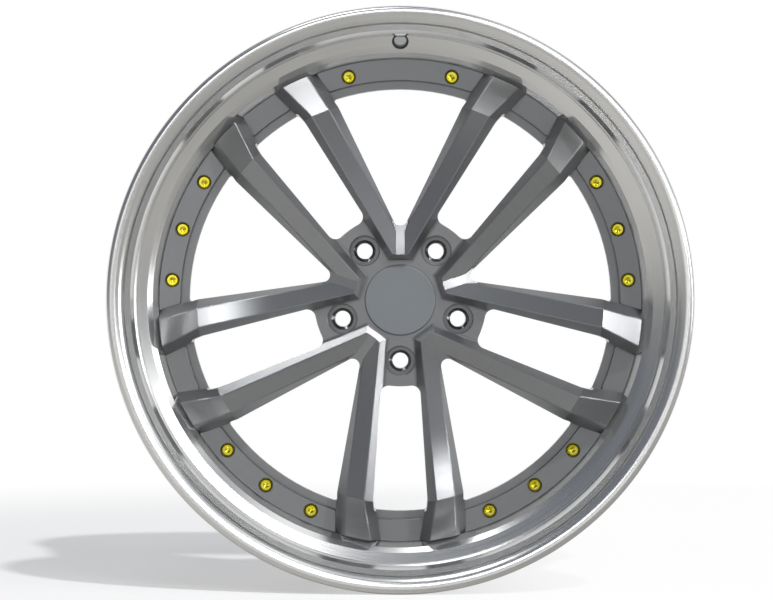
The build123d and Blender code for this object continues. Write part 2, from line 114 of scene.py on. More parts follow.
class NodeTree:
    """A node tree, with short calls that add nodes and join them."""

    def __init__(self, tree: bpy.types.NodeTree) -> None:
        """Takes a tree on.

        Args:
            tree: a material's or a room's node tree.
        """
        self.tree = tree

    def add(self, kind: str, **settings: object) -> bpy.types.Node:
        """Adds a node.

        Args:
            kind: the node's type.
            settings: the node's own properties.

        Returns:
            The new node.
        """
        node = self.tree.nodes.new(kind)
        for key, value in settings.items():
            setattr(node, key, value)
        return node

    def join(self, source: Socket, target: Socket) -> None:
        """Links one socket to another."""
        self.tree.links.new(source, target)

    def fill(self, target: Socket, value: object) -> None:
        """Links a socket to the target, or sets a plain value on it."""
        if isinstance(value, Socket):
            self.join(value, target)
        else:
            target.default_value = value

    def vector(self, operation: str, *values: object) -> bpy.types.Node:
        """Adds a sum on vectors.

        Args:
            operation: the vector operation's name.
            values: its inputs, sockets or plain vectors.

        Returns:
            The vector node.
        """
        node = self.add("ShaderNodeVectorMath", operation=operation)
        for target, value in zip(node.inputs, values):
            self.fill(target, value)
        return node

    def number(self, operation: str, *values: object) -> Socket:
        """Adds a sum on numbers.

        Args:
            operation: the operation's name.
            values: its inputs, sockets or plain numbers.

        Returns:
            The result's socket.
        """
        node = self.add("ShaderNodeMath", operation=operation)
        for target, value in zip(node.inputs, values):
            self.fill(target, value)
        return node.outputs[0]

    def parts(self, value: Socket) -> bpy.types.bpy_prop_collection:
        """Splits a vector.

        Args:
            value: the vector.

        Returns:
            The sockets of its parts, by the names X, Y and Z.
        """
        node = self.add("ShaderNodeSeparateXYZ")
        self.join(value, node.inputs[0])
        return node.outputs

    def ramp(self, value: Socket, span: Span, low: float = 0.0, high: float = 1.0, ease: str = "LINEAR") -> Socket:
        """Maps a span onto a range, and holds it there.

        Args:
            value: the number.
            span: what becomes the low end, and what becomes the high end.
            low: the range's low end.
            high: its high end.
            ease: the kind of passage from one to the other.

        Returns:
            The mapped value's socket.
        """
        node = self.add("ShaderNodeMapRange", interpolation_type=ease)
        self.join(value, node.inputs["Value"])
        for name, end in zip(("From Min", "From Max", "To Min", "To Max"), (*span, low, high)):
            node.inputs[name].default_value = end
        return node.outputs["Result"]

    def between(self, share: Socket, first: Colour | Socket, second: Colour | Socket) -> Socket:
        """Mixes two colours, sockets or plain ones.

        Args:
            share: how much of the second colour shows, from 0 to 1.
            first: the colour at 0.
            second: the colour at 1.

        Returns:
            The mixed colour's socket.
        """
        node = self.add("ShaderNodeMix", data_type="RGBA")
        self.join(share, node.inputs["Factor"])
        ends = [socket for socket in node.inputs if socket.type == "RGBA"]
        for end, colour in zip(ends, (first, second)):
            self.fill(end, colour if isinstance(colour, Socket) else (*colour, 1))
        return next(socket for socket in node.outputs if socket.type == "RGBA")

    def mix(self, share: Socket, first: Socket, second: Socket) -> Socket:
        """Mixes two shaders.

        Args:
            share: how much of the second shader shows, from 0 to 1.
            first: the shader at 0.
            second: the shader at 1.

        Returns:
            The mixed shader's socket.
        """
        node = self.add("ShaderNodeMixShader")
        for target, source in zip(node.inputs, (share, first, second)):
            self.join(source, target)
        return node.outputs[0]

    def seen_white(self, behind: Socket) -> Socket:
        """Tells what shows as the white backdrop: all that the camera sees, and what metal mirrors behind the wheel.

        Args:
            behind: 1 behind the wheel and 0 before it.

        Returns:
            A socket that is 1 there and 0 elsewhere.
        """
        path = self.add("ShaderNodeLightPath").outputs
        straight = self.number("MAXIMUM", path["Is Camera Ray"], path["Is Transmission Ray"])
        mirrored = self.number("MULTIPLY", path["Is Glossy Ray"], behind)
        return self.number("MAXIMUM", straight, mirrored)


class Shading(NodeTree):
    """A material's node tree round its one shader."""

    def __init__(self, name: str) -> None:
        """Starts a material.

        Args:
            name: the material's name.
        """
        self.material = bpy.data.materials.new(name)
        self.material.use_nodes = True
        super().__init__(self.material.node_tree)
        self.shader = self.tree.nodes["Principled BSDF"]

    def spread(self, noise: Socket, low: float, high: float) -> Socket:
        """Maps the middle of a noise onto a range.

        Args:
            noise: the noise.
            low: the range's low end.
            high: its high end.

        Returns:
            The mapped value's socket.
        """
        return self.ramp(noise, NOISE_SPAN, low, high)

    def place(self) -> Socket:
        """Gives the point's place on the wheel, in metres."""
        return self.add("ShaderNodeTexCoord").outputs["Object"]

    def round_axle(self) -> Socket:
        """Gives the direction round the axle: the place crossed with the axle's own direction."""
        crossed = self.vector("CROSS_PRODUCT", self.place(), (0, 1, 0))
        return self.vector("NORMALIZE", crossed.outputs["Vector"]).outputs["Vector"]

    def ring_marks(self, pitch: float, wander: float, climb: float, detail: float, fineness: float) -> Socket:
        """Draws a noise out into rings round the axle.

        The noise is read at the distance from the axle over the pitch, the place along the axle times the climb over
        the pitch and the direction from the axle times the wander, so it changes fast across the rings and slowly
        along them.

        Args:
            pitch: about how far apart the marks lie, in metres.
            wander: how fast a mark changes along its ring.
            climb: how much the place along the axle counts beside the distance from it.
            detail: how many finer layers lie on the marks.
            fineness: how strong each finer layer is beside the one before it.

        Returns:
            The noise's socket.
        """
        place = self.place()
        outward = self.vector("MULTIPLY", place, (1, 0, 1)).outputs["Vector"]
        distance = self.vector("LENGTH", outward).outputs["Value"]
        direction = self.parts(self.vector("NORMALIZE", outward).outputs["Vector"])
        read_at = self.add("ShaderNodeCombineXYZ")
        self.join(self.number("DIVIDE", distance, pitch), read_at.inputs["X"])
        self.join(self.number("MULTIPLY", self.parts(place)["Y"], climb / pitch), read_at.inputs["Y"])
        self.join(self.number("MULTIPLY", direction["X"], wander), read_at.inputs["Z"])
        noise = self.add("ShaderNodeTexNoise", noise_dimensions="4D")
        self.join(read_at.outputs[0], noise.inputs["Vector"])
        self.join(self.number("MULTIPLY", direction["Z"], wander), noise.inputs["W"])
        noise.inputs["Scale"].default_value = 1
        noise.inputs["Detail"].default_value = detail
        noise.inputs["Roughness"].default_value = fineness
        return noise.outputs[0]

    def speckle(self, size: float, detail: float) -> Socket:
        """Gives an even noise.

        Args:
            size: about how large its patches are, in metres.
            detail: how many finer layers lie on it.

        Returns:
            The noise's socket.
        """
        noise = self.add("ShaderNodeTexNoise")
        self.join(self.place(), noise.inputs["Vector"])
        noise.inputs["Scale"].default_value = 1 / size
        noise.inputs["Detail"].default_value = detail
        return noise.outputs[0]

    def emboss(self, height: Socket, depth: float) -> None:
        """Raises a noise as relief.

        Args:
            height: the noise.
            depth: how high it stands, in metres.
        """
        bump = self.add("ShaderNodeBump")
        bump.inputs["Strength"].default_value = 1
        bump.inputs["Distance"].default_value = depth
        self.join(height, bump.inputs["Height"])
        self.join(bump.outputs["Normal"], self.shader.inputs["Normal"])

    def settle(self, **values: float) -> None:
        """Sets the shader's own plain values, by their names with an underscore for each space."""
        for key, value in values.items():
            self.shader.inputs[key.replace("_", " ")].default_value = value


@dataclass(frozen=True, kw_only=True)
class Finish:
    """What every finish states: two tones, two roughnesses, its marks' depth in metres and their finer layers."""

    name: str
    dark: Colour
    light: Colour
    smooth: float
    rough: float
    depth: float
    detail: float

    def coat(self, shading: Shading, tone: Socket, marks: Socket) -> bpy.types.Material:
        """Joins a finish's noises to its shader.

        Args:
            shading: the material's node tree.
            tone: the noise that moves between the two tones, from 0 to 1.
            marks: the noise that sets the roughness and the relief.

        Returns:
            The material.
        """
        inputs = shading.shader.inputs
        shading.join(shading.between(tone, self.dark, self.light), inputs["Base Color"])
        shading.join(shading.spread(marks, self.smooth, self.rough), inputs["Roughness"])
        shading.emboss(marks, self.depth)
        return shading.material


@dataclass(frozen=True, kw_only=True)
class TurnedMetal(Finish):
    """Metal with the ring marks that a lathe or a circling brush leaves round the axle, under a wide haze."""

    pitch: float
    wander: float
    anisotropy: float
    metal: float = 1.0
    climb: float = 1.0
    detail: float = 3.0
    fineness: float = 0.6
    haze_size: float = 0.06
    haze_detail: float = 2.0
    mark_share: float = 0.7
    haze_share: float = 0.3

    def material(self) -> bpy.types.Material:
        """Builds the material: the marks set its roughness and relief, and with the haze its tone.

        Returns:
            The material.
        """
        shading = Shading(self.name)
        marks = shading.ring_marks(self.pitch, self.wander, self.climb, self.detail, self.fineness)
        haze = shading.speckle(self.haze_size, self.haze_detail)
        tone = shading.number(
            "ADD", shading.spread(marks, 0.0, self.mark_share), shading.spread(haze, 0.0, self.haze_share))
        shading.join(shading.round_axle(), shading.shader.inputs["Tangent"])
        shading.settle(Metallic=self.metal, Anisotropic=self.anisotropy)
        return self.coat(shading, tone, marks)


@dataclass(frozen=True, kw_only=True)
class PlatedMetal(Finish):
    """Metal under a thin plating, with small cloudy changes of tone."""

    patch: float
    detail: float = 4.0

    def material(self) -> bpy.types.Material:
        """Builds the material: a cloudy noise sets its tone, roughness and relief.

        Returns:
            The material.
        """
        shading = Shading(self.name)
        cloud = shading.speckle(self.patch, self.detail)
        shading.settle(Metallic=1.0)
        return self.coat(shading, shading.spread(cloud, 0.0, 1.0), cloud)


@dataclass(frozen=True, kw_only=True)
class MattSkin(Finish):
    """A painted, moulded or cured surface that isn't bare metal."""

    grain: float
    detail: float = 3.0

    def material(self) -> bpy.types.Material:
        """Builds the material: a fine grain sets its tone, roughness and relief.

        Returns:
            The material.
        """
        shading = Shading(self.name)
        grain = shading.speckle(self.grain, self.detail)
        return self.coat(shading, shading.spread(grain, 0.0, 1.0), grain)


BRUSHED_CENTRE = TurnedMetal(
    name="brushed_titanium_grey", dark=(0.335, 0.341, 0.351), light=(0.365, 0.371, 0.381), smooth=0.29, rough=0.34,
    pitch=0.0012, wander=3.0, depth=0.0000001, anisotropy=0.25, metal=0.8, climb=0.0)
POLISHED_LIP = TurnedMetal(
    name="polished_aluminium", dark=(0.78, 0.78, 0.77), light=(0.88, 0.88, 0.87), smooth=0.17, rough=0.25,
    pitch=0.0008, wander=1.5, depth=0.0000006, anisotropy=0.3)
TURNED_BARREL = TurnedMetal(
    name="turned_aluminium", dark=(0.58, 0.58, 0.58), light=(0.70, 0.70, 0.69), smooth=0.24, rough=0.34,
    pitch=0.0016, wander=2.0, depth=0.000006, anisotropy=0.4)
# The valve bore's near-black tone is painted shade for the hole's dark recess, not the metal's own colour
VALVE_BORE_SHADE = PlatedMetal(
    name="valve_bore_painted_shade", dark=(0.070, 0.070, 0.070), light=(0.120, 0.120, 0.120), smooth=0.42, rough=0.55,
    patch=0.002, depth=1e-5)
GOLD_PLATE = PlatedMetal(
    name="gold_plated_steel", dark=(0.95, 0.80, 0.03), light=(1.00, 0.90, 0.06), smooth=0.12, rough=0.20,
    patch=0.004, depth=0.000004)
ZINC_PLATE = PlatedMetal(
    name="zinc_plated_steel", dark=(0.46, 0.47, 0.48), light=(0.60, 0.61, 0.62), smooth=0.26, rough=0.40,
    patch=0.003, depth=0.000006)
SPRING_STEEL = PlatedMetal(
    name="bare_spring_steel", dark=(0.30, 0.30, 0.31), light=(0.42, 0.42, 0.43), smooth=0.28, rough=0.40,
    patch=0.002, depth=0.000004)
CAP_PAINT = MattSkin(
    name="satin_grey_cap", dark=(0.180, 0.195, 0.207), light=(0.189, 0.204, 0.216), smooth=0.44, rough=0.52,
    grain=0.0012, depth=0.000003)
CURED_SEALANT = MattSkin(
    name="cured_sealant", dark=(0.030, 0.030, 0.032), light=(0.055, 0.055, 0.058), smooth=0.50, rough=0.62,
    grain=0.004, depth=0.00010)


# Shapes


@dataclass(frozen=True)
class Corner:
    """A corner of a turned outline, in millimetres: its radius, its place towards the face, and its rounding."""

    radius: float
    forward: float
    rounding: float


def rounded_outline(corners: list[Corner], steps: int) -> np.ndarray:
    """Replaces each corner by an arc that meets both its sides.

    The arc leaves each side at the rounding over the tangent of half the corner's angle, and its centre lies on the
    line that halves the corner, at the rounding over the sine of that half. Where two arcs need more than the side
    between them has, both shrink alike.

    Args:
        corners: the outline's corners in order.
        steps: how many points each arc has.

    Returns:
        The points as rows of radius and place towards the face, in millimetres.
    """
    points = np.array([(c.radius, c.forward) for c in corners])
    rounding = np.array([c.rounding for c in corners])
    back = np.roll(points, 1, axis=0) - points
    ahead = np.roll(points, -1, axis=0) - points
    back_length = np.linalg.norm(back, axis=1)
    ahead_length = np.linalg.norm(ahead, axis=1)
    back = back / back_length[:, None]
    ahead = ahead / ahead_length[:, None]
    half = np.arccos(np.clip((back * ahead).sum(axis=1), -1, 1)) / 2
    wanted = rounding / np.tan(half)
    room = ARC_ROOM * ahead_length / (wanted + np.roll(wanted, -1))
    reach = wanted * np.minimum(1, np.minimum(room, np.roll(room, 1)))
    radius = reach * np.tan(half)
    middle = back + ahead
    middle = middle / np.linalg.norm(middle, axis=1)[:, None]
    centre = points + middle * (radius / np.sin(half))[:, None]
    first = points + back * reach[:, None] - centre
    last = points + ahead * reach[:, None] - centre
    start = np.arctan2(first[:, 1], first[:, 0])
    sweep = np.arctan2(last[:, 1], last[:, 0]) - start
    sweep = (sweep + math.pi) % (2 * math.pi) - math.pi
    turn = start[:, None] + sweep[:, None] * np.linspace(0, 1, steps)[None]
    arc = np.stack([np.cos(turn), np.sin(turn)], axis=-1) * radius[:, None, None]
    return (centre[:, None] + arc).reshape(-1, 2)


def mesh_from(name: str, points: np.ndarray, faces: np.ndarray) -> bpy.types.Mesh:
    """Puts points and faces into a smooth-shaded mesh.

    Args:
        name: the mesh's name.
        points: rows of x, y and z in metres.
        faces: rows of four point numbers.

    Returns:
        The mesh.
    """
    mesh = bpy.data.meshes.new(name)
    mesh.from_pydata(points, [], faces)
    mesh.polygons.foreach_set("use_smooth", np.ones(len(mesh.polygons), dtype=bool))
    mesh.update()
    return mesh


def turned_mesh(name: str, outline: np.ndarray, segments: int) -> bpy.types.Mesh:
    """Carries a closed outline round the axle.

    A point at radius r and forward place f stands at x = r sin(a), y = -f, z = r cos(a) for each angle a.

    Args:
        name: the mesh's name.
        outline: rows of radius and forward place, in millimetres.
        segments: how many steps the turn has.

    Returns:
        The mesh, with its faces outwards.
    """
    angles = np.linspace(0, 2 * math.pi, segments, endpoint=False)[:, None]
    radius = outline[None, :, 0] * MM
    forward = outline[None, :, 1] * MM
    grid = np.stack([radius * np.sin(angles), -forward + 0 * angles, radius * np.cos(angles)], axis=-1)
    count = len(outline)
    step = np.arange(segments)[:, None] * count
    step_on = (np.arange(segments)[:, None] + 1) % segments * count
    rank = np.arange(count)[None]
    rank_on = (rank + 1) % count
    faces = np.stack([step + rank, step + rank_on, step_on + rank_on, step_on + rank], axis=-1).reshape(-1, 4)
    ahead = np.roll(outline, -1, axis=0)
    area = (outline[:, 0] * ahead[:, 1] - ahead[:, 0] * outline[:, 1]).sum()
    if area < 0:
        faces = faces[:, ::-1]
    return mesh_from(name, grid.reshape(-1, 3), faces)


def rods_mesh(name: str, centres: np.ndarray, axis: Point, outline: np.ndarray, sides: int) -> bpy.types.Mesh:
    """Makes straight turned pins, all along one axis.

    A pin's point at radius r and height h stands at its centre plus h along the axis plus r round it.

    Args:
        name: the mesh's name.
        centres: rows of x, y and z in metres.
        axis: the pins' direction.
        outline: rows of radius and height, in metres, from a point on the axis to another.
        sides: how many sides a pin has.

    Returns:
        The mesh.
    """
    along = np.array(axis) / np.linalg.norm(axis)
    across = np.array(Vector(axis).orthogonal().normalized())
    other = np.cross(along, across)
    angles = np.linspace(0, 2 * math.pi, sides, endpoint=False)[:, None]
    radius = outline[None, :, 0, None]
    height = outline[None, :, 1, None]
    round_pin = np.cos(angles)[..., None] * across + np.sin(angles)[..., None] * other
    pin = round_pin * radius + height * along
    grid = np.asarray(centres)[:, None, None] + pin[None]
    count = len(outline)
    step = np.arange(sides)[:, None] * count
    step_on = (np.arange(sides)[:, None] + 1) % sides * count
    rank = np.arange(count - 1)[None]
    one = np.stack([step + rank, step_on + rank, step_on + rank + 1, step + rank + 1], axis=-1).reshape(-1, 4)
    start = np.arange(len(grid))[:, None, None] * sides * count
    mesh = mesh_from(name, grid.reshape(-1, 3), (one[None] + start).reshape(-1, 4))
    work = bmesh.new()
    work.from_mesh(mesh)
    bmesh.ops.remove_doubles(work, verts=work.verts, dist=MERGE_DISTANCE)
    bmesh.ops.recalc_face_normals(work, faces=work.faces)
    work.to_mesh(mesh)
    work.free()
    return mesh


def add_object(name: str, mesh: bpy.types.Mesh) -> bpy.types.Object:
    """Puts a mesh in the scene at the origin.

    Args:
        name: the object's name.
        mesh: its mesh.

    Returns:
        The object.
    """
    piece = bpy.data.objects.new(name, mesh)
    bpy.context.scene.collection.objects.link(piece)
    return piece


def cut_away(piece: bpy.types.Object, tool_mesh: bpy.types.Mesh) -> None:
    """Cuts a tool's shape out of a piece for good.

    Args:
        piece: the piece to cut.
        tool_mesh: the tool's mesh, which is used up.
    """
    tool = add_object("tool", tool_mesh)
    cut = piece.modifiers.new("cut", "BOOLEAN")
    cut.operation = "DIFFERENCE"
    cut.solver = "EXACT"
    cut.object = tool
    whole = piece.data
    seen = piece.evaluated_get(bpy.context.evaluated_depsgraph_get())
    piece.data = bpy.data.meshes.new_from_object(seen)
    piece.modifiers.clear()
    bpy.data.objects.remove(tool)
    bpy.data.meshes.remove(tool_mesh)
    bpy.data.meshes.remove(whole)


def even_shading(piece: bpy.types.Object) -> None:
    """Shades large faces flat and the small ones between them round.

    Args:
        piece: the piece.
    """
    piece.data.set_sharp_from_angle(angle=math.radians(SHARP_ANGLE))
    even = piece.modifiers.new("even_shading", "WEIGHTED_NORMAL")
    even.keep_sharp = True
    even.weight = LARGE_FACE_PULL


def dress(piece: bpy.types.Object, node: Node, material: bpy.types.Material) -> None:
    """Gives a piece its finish and its place in the wheel.

    Args:
        piece: the piece.
        node: the solid that it stands for.
        material: its finish.
    """
    piece.data.materials.clear()
    piece.data.materials.append(material)
    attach(piece, BODY)
    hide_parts(node.value)
    log.info("%s: %d faces for %s", piece.name, len(piece.data.polygons), node.value)


# Pieces


@dataclass
class BoltCircle:
    """Where the assembly bolts stand, in millimetres and degrees clockwise from the top."""

    radius: float = 215.8
    pairs: int = 5
    spread: float = 13.0
    hole_radius: float = 4.3
    hole_sides: int = 24

    def angles(self) -> np.ndarray:
        """Gives the bolts' angles: two beside each pair of spokes' middle, and one there except at the top."""
        pitch = 360 / self.pairs
        middles = pitch * np.arange(self.pairs)
        return np.concatenate([middles - self.spread, middles + self.spread, middles[1:]])

    def holes(self, low: float, high: float) -> bpy.types.Mesh:
        """Makes the pins that cut the bolts' holes.

        Args:
            low: the forward place of the pins' back ends.
            high: the forward place of their front ends.

        Returns:
            The pins' mesh.
        """
        angles = np.radians(self.angles())
        outward = np.stack([np.sin(angles), 0 * angles, np.cos(angles)], axis=-1)
        outline = np.array([(0, low), (self.hole_radius, low), (self.hole_radius, high), (0, high)]) * MM
        return rods_mesh("bolt_holes", self.radius * outward * MM, (0, -1, 0), outline, self.hole_sides)


@dataclass
class ValveHole:
    """The valve's hole in the lip's ledge, square to it, with its spotface, in millimetres and degrees."""

    radius: float = 5.75
    spotface_radius: float = 7.8
    spotface_depth: float = 1.6
    ledge_radius: float = 242.1
    ledge_forward: float = 88.655
    tilt: float = 26.5
    reach: float = 14.0
    slack: float = 0.05
    sides: int = 48

    def axis(self) -> Point:
        """Gives the hole's direction, out of the ledge."""
        tilt = math.radians(self.tilt)
        return (0, -math.cos(tilt), -math.sin(tilt))

    def centre(self) -> np.ndarray:
        """Gives the point where the hole meets the ledge, in metres."""
        return np.array([0, -self.ledge_forward, self.ledge_radius]) * MM

    def tool(self) -> bpy.types.Mesh:
        """Makes the stepped pin that cuts the hole and its spotface."""
        outline = np.array([
            (0, -self.reach),
            (self.radius, -self.reach),
            (self.radius, -self.spotface_depth),
            (self.spotface_radius, -self.spotface_depth),
            (self.spotface_radius, self.reach / 2),
            (0, self.reach / 2),
        ]) * MM
        return rods_mesh("valve_tool", self.centre()[None], self.axis(), outline, self.sides)

    def line(self, piece: bpy.types.Object, material: bpy.types.Material) -> None:
        """Paints the hole and its spotface near-black, a painted shade for the shadow that falls inside the recess.

        Their faces are those whose corners all lie within the spotface's radius, and a little slack, of the hole's
        axis.

        Args:
            piece: the rim half, already cut and dressed.
            material: the near-black finish that paints that shade.
        """
        mesh = piece.data
        mesh.materials.append(material)
        points = np.empty(3 * len(mesh.vertices))
        mesh.vertices.foreach_get("co", points)
        offset = points.reshape(-1, 3) - self.centre()
        along = offset @ np.array(self.axis())
        beside = np.sqrt(np.maximum((offset ** 2).sum(axis=1) - along ** 2, 0))
        inside = (beside < (self.spotface_radius + self.slack) * MM) & (np.abs(along) < self.reach * MM)
        corners = np.empty(len(mesh.loops), dtype=np.int32)
        mesh.loops.foreach_get("vertex_index", corners)
        starts = np.empty(len(mesh.polygons), dtype=np.int32)
        mesh.polygons.foreach_get("loop_start", starts)
        # Faces wholly inside the hole get the near-black painted shade
        painted_dark = np.logical_and.reduceat(inside[corners], starts)
        mesh.polygons.foreach_set("material_index", painted_dark.astype(np.int32))
        log.info("%s: %d faces drilled", piece.name, painted_dark.sum())


@dataclass
class OuterRim:
    """The polished outer half: rolled lip, stepped wall, valve ledge and joint flange."""

    segments: int = 288
    arc_steps: int = 9
    holes_from: float = 50.0
    holes_to: float = 62.0

    def corners(self) -> list[Corner]:
        """Gives the outline from the flange's crest round the face side and back along the tyre side."""
        return [
            Corner(271.5, 131.65, 4.5),
            Corner(258.71, 131.65, 13.5),
            Corner(254.56, 124.47, 0.4),
            Corner(249.86, 119.27, 0.8),
            Corner(247.1, 111.77, 1.2),
            Corner(247.1, 91.15, 0.6),
            Corner(237.1, 86.16, 0.5),
            Corner(232.3, 82.38, 0.6),
            Corner(227.5, 75.66, 0.4),
            Corner(227.5, 59.65, 0.2),
            Corner(202.5, 59.65, 0.5),
            Corner(202.5, 53.65, 0.5),
            Corner(230.5, 53.65, 0.2),
            Corner(233.5, 56.65, 0.5),
            Corner(233.5, 72.66, 3.0),
            Corner(239.78, 80.79, 2.0),
            Corner(253.1, 87.44, 1.5),
            Corner(253.1, 93.65, 1.0),
            Corner(251.9, 96.65, 1.0),
            Corner(254.0, 120.65, 6.0),
            Corner(271.5, 120.65, 4.5),
        ]

    def build(self, bolts: BoltCircle, valve: ValveHole) -> bpy.types.Object:
        """Turns the outline and cuts the valve's and the bolts' holes.

        Args:
            bolts: the bolts' places.
            valve: the valve's hole.

        Returns:
            The piece.
        """
        outline = rounded_outline(self.corners(), self.arc_steps)
        piece = add_object("polished_outer_rim", turned_mesh("polished_outer_rim", outline, self.segments))
        cut_away(piece, valve.tool())
        cut_away(piece, bolts.holes(self.holes_from, self.holes_to))
        even_shading(piece)
        dress(piece, Node.OUTER_RIM, POLISHED_LIP.material())
        # The valve hole's walls are painted near-black as shade
        valve.line(piece, VALVE_BORE_SHADE.material())
        return piece


@dataclass
class InnerRim:
    """The turned inner half: joint flange, drop well, barrel and the rear bead seat and flange."""

    segments: int = 288
    arc_steps: int = 7
    holes_from: float = 44.0
    holes_to: float = 56.0

    def corners(self) -> list[Corner]:
        """Gives the outline from the joint along the tyre side and back through the barrel."""
        return [
            Corner(202.5, 53.65, 0.5),
            Corner(230.5, 53.65, 0.2),
            Corner(233.5, 50.65, 0.5),
            Corner(233.5, 26.65, 12.0),
            Corner(251.9, -63.35, 12.0),
            Corner(251.9, -90.65, 1.0),
            Corner(253.1, -93.65, 1.0),
            Corner(251.9, -96.65, 1.0),
            Corner(254.0, -120.65, 6.0),
            Corner(271.5, -120.65, 4.5),
            Corner(271.5, -131.65, 4.5),
            Corner(254.0, -131.65, 1.5),
            Corner(247.4, -116.15, 4.0),
            Corner(247.4, -63.35, 12.0),
            Corner(229.0, 26.65, 12.0),
            Corner(229.0, 47.65, 2.0),
            Corner(202.5, 47.65, 0.5),
        ]

    def build(self, bolts: BoltCircle) -> bpy.types.Object:
        """Turns the outline and cuts the bolts' holes.

        Args:
            bolts: the bolts' places.

        Returns:
            The piece.
        """
        outline = rounded_outline(self.corners(), self.arc_steps)
        piece = add_object("turned_inner_rim", turned_mesh("turned_inner_rim", outline, self.segments))
        cut_away(piece, bolts.holes(self.holes_from, self.holes_to))
        even_shading(piece)
        dress(piece, Node.INNER_RIM, TURNED_BARREL.material())
        return piece


@dataclass
class CopiedSolid:
    """A solid of the wheel that keeps its own triangles and its own smooth shading."""

    node: Node
    slot: Slot
    name: str
    finish: TurnedMetal | PlatedMetal | MattSkin
    mirrored: bool = True

    def build(self) -> bpy.types.Object:
        """Copies the solid's mesh and gives it its finish.

        Returns:
            The piece.
        """
        mesh = frame["nodes"][self.node.value].data.copy()
        mesh.name = self.name
        piece = add_object(self.name, mesh)
        piece.visible_glossy = self.mirrored
        dress(piece, self.node, self.finish.material())
        return piece


COPIED_SOLIDS = (
    CopiedSolid(Node.CENTRE, Slot.CENTRE, "brushed_centre", BRUSHED_CENTRE),
    CopiedSolid(Node.BOLTS, Slot.BOLTS, "gold_bolts", GOLD_PLATE, mirrored=False),
    CopiedSolid(Node.NUTS, Slot.NUTS, "plain_nuts", ZINC_PLATE),
    CopiedSolid(Node.CAP, Slot.CAP, "grey_cap", CAP_PAINT),
    CopiedSolid(Node.CAP_RING, Slot.CAP_RING, "cap_wire_ring", SPRING_STEEL),
    CopiedSolid(Node.SEALANT, Slot.SEALANT, "sealant_bead", CURED_SEALANT),
)


# Studio


@dataclass
class PhotoCamera:
    """The photograph's view: square on to the face, in metres from the lip's crest and pixels of the photograph."""

    distance: float = 2.4
    crest: float = 0.13165
    lens: float = 121.5
    sensor: float = 36.0
    sees_to: float = 60.0
    image_width: int = 773
    wheel_offset: float = 13.8

    def build(self) -> bpy.types.Object:
        """Sets the camera on the axle line, with the wheel a little right of the picture's middle.

        Returns:
            The camera.
        """
        data = bpy.data.cameras.new("photo_camera")
        data.lens = self.lens
        data.sensor_width = self.sensor
        data.shift_x = -self.wheel_offset / self.image_width
        data.clip_end = self.sees_to
        camera = bpy.data.objects.new("photo_camera", data)
        camera.location = (0, -self.crest - self.distance, 0)
        camera.rotation_euler = (math.pi / 2, 0, 0)
        bpy.context.scene.collection.objects.link(camera)
        bpy.context.scene.camera = camera
        return camera


def heading(azimuth: float, off_axle: float) -> Point:
    """Gives a direction from the wheel.

    Args:
        azimuth: its degrees clockwise from the top.
        off_axle: its degrees off the axle line on the face's side.

    Returns:
        The direction's x, y and z.
    """
    turn = math.radians(azimuth)
    lean = math.radians(off_axle)
    return (math.sin(lean) * math.sin(turn), -math.cos(lean), math.sin(lean) * math.cos(turn))


def hang_lamp(
        data: bpy.types.Light, place: Point | Vector, turn: Point | Euler, lights: Names, passes: Names
) -> bpy.types.Object:
    """Hangs a lamp that the camera doesn't see, for the pieces that it lights, and lets it through those it passes.

    Args:
        data: the lamp's own settings.
        place: where it hangs, in metres.
        turn: how it is turned.
        lights: the names of the pieces that it lights.
        passes: the names of the pieces that throw no shadow from it.

    Returns:
        The lamp.
    """
    objects = bpy.context.scene.objects
    light = bpy.data.objects.new(data.name, data)
    light.location = place
    light.rotation_euler = turn
    light.visible_camera = False
    bpy.context.scene.collection.objects.link(light)
    lit = bpy.data.collections.new(f"{data.name}_lit")
    for piece in objects:
        if piece.name in lights:
            lit.objects.link(piece)
    light.light_linking.receiver_collection = lit
    if passes:
        shade = bpy.data.collections.new(f"{data.name}_shade")
        for piece in objects:
            if piece.type == "MESH" and piece.name not in passes:
                shade.objects.link(piece)
        light.light_linking.blocker_collection = shade
        data.cycles.use_multiple_importance_sampling = False
    log.info("light %s", data.name)
    return light


@dataclass(frozen=True)
class SoftBox:
    """A long soft light beside the axle line, turned to face it, in metres and degrees clockwise from the top."""

    name: str
    azimuth: float
    distance: float
    front: float
    back: float
    width: float
    level: float
    lights: Names
    passes: Names = ()

    def build(self) -> bpy.types.Object:
        """Hangs the light.

        The level is the brightness of the light's own face, and its power is that level times pi times its area.

        Returns:
            The light.
        """
        length = self.back - self.front
        data = bpy.data.lights.new(self.name, "AREA")
        data.shape = "RECTANGLE"
        data.size = self.width
        data.size_y = length
        data.energy = self.level * math.pi * self.width * length
        turn = math.radians(self.azimuth)
        middle = (self.front + self.back) / 2
        place = (self.distance * math.sin(turn), middle, self.distance * math.cos(turn))
        return hang_lamp(data, place, (0, turn, 0), self.lights, self.passes)


@dataclass(frozen=True)
class SpotKind:
    """What spots of one kind share, in metres and degrees: how they hang, how wide they shine and what they light."""

    off_axle: float
    distance: float
    cone: float
    radius: float
    lights: Names
    passes: Names = ()


@dataclass(frozen=True)
class AimedSpot:
    """A soft spot lamp, hung off a point of the wheel by its azimuth and its kind's angle off the axle line."""

    name: str
    kind: SpotKind
    target: Point
    azimuth: float
    power: float

    def build(self) -> bpy.types.Object:
        """Hangs the lamp.

        Returns:
            The lamp.
        """
        data = bpy.data.lights.new(self.name, "SPOT")
        data.energy = self.power
        data.shadow_soft_size = self.kind.radius
        data.spot_size = math.radians(self.kind.cone)
        data.spot_blend = 1.0
        away = Vector(heading(self.azimuth, self.kind.off_axle))
        place = Vector(self.target) + self.kind.distance * away
        turn = away.to_track_quat("Z", "Y").to_euler()
        return hang_lamp(data, place, turn, self.kind.lights, self.kind.passes)


@dataclass(frozen=True)
class Glow:
    """A soft bright patch of the room, by its azimuth clockwise from the top and its angle off the axle line."""

    azimuth: float
    off_axle: float
    level: float
    tightness: float


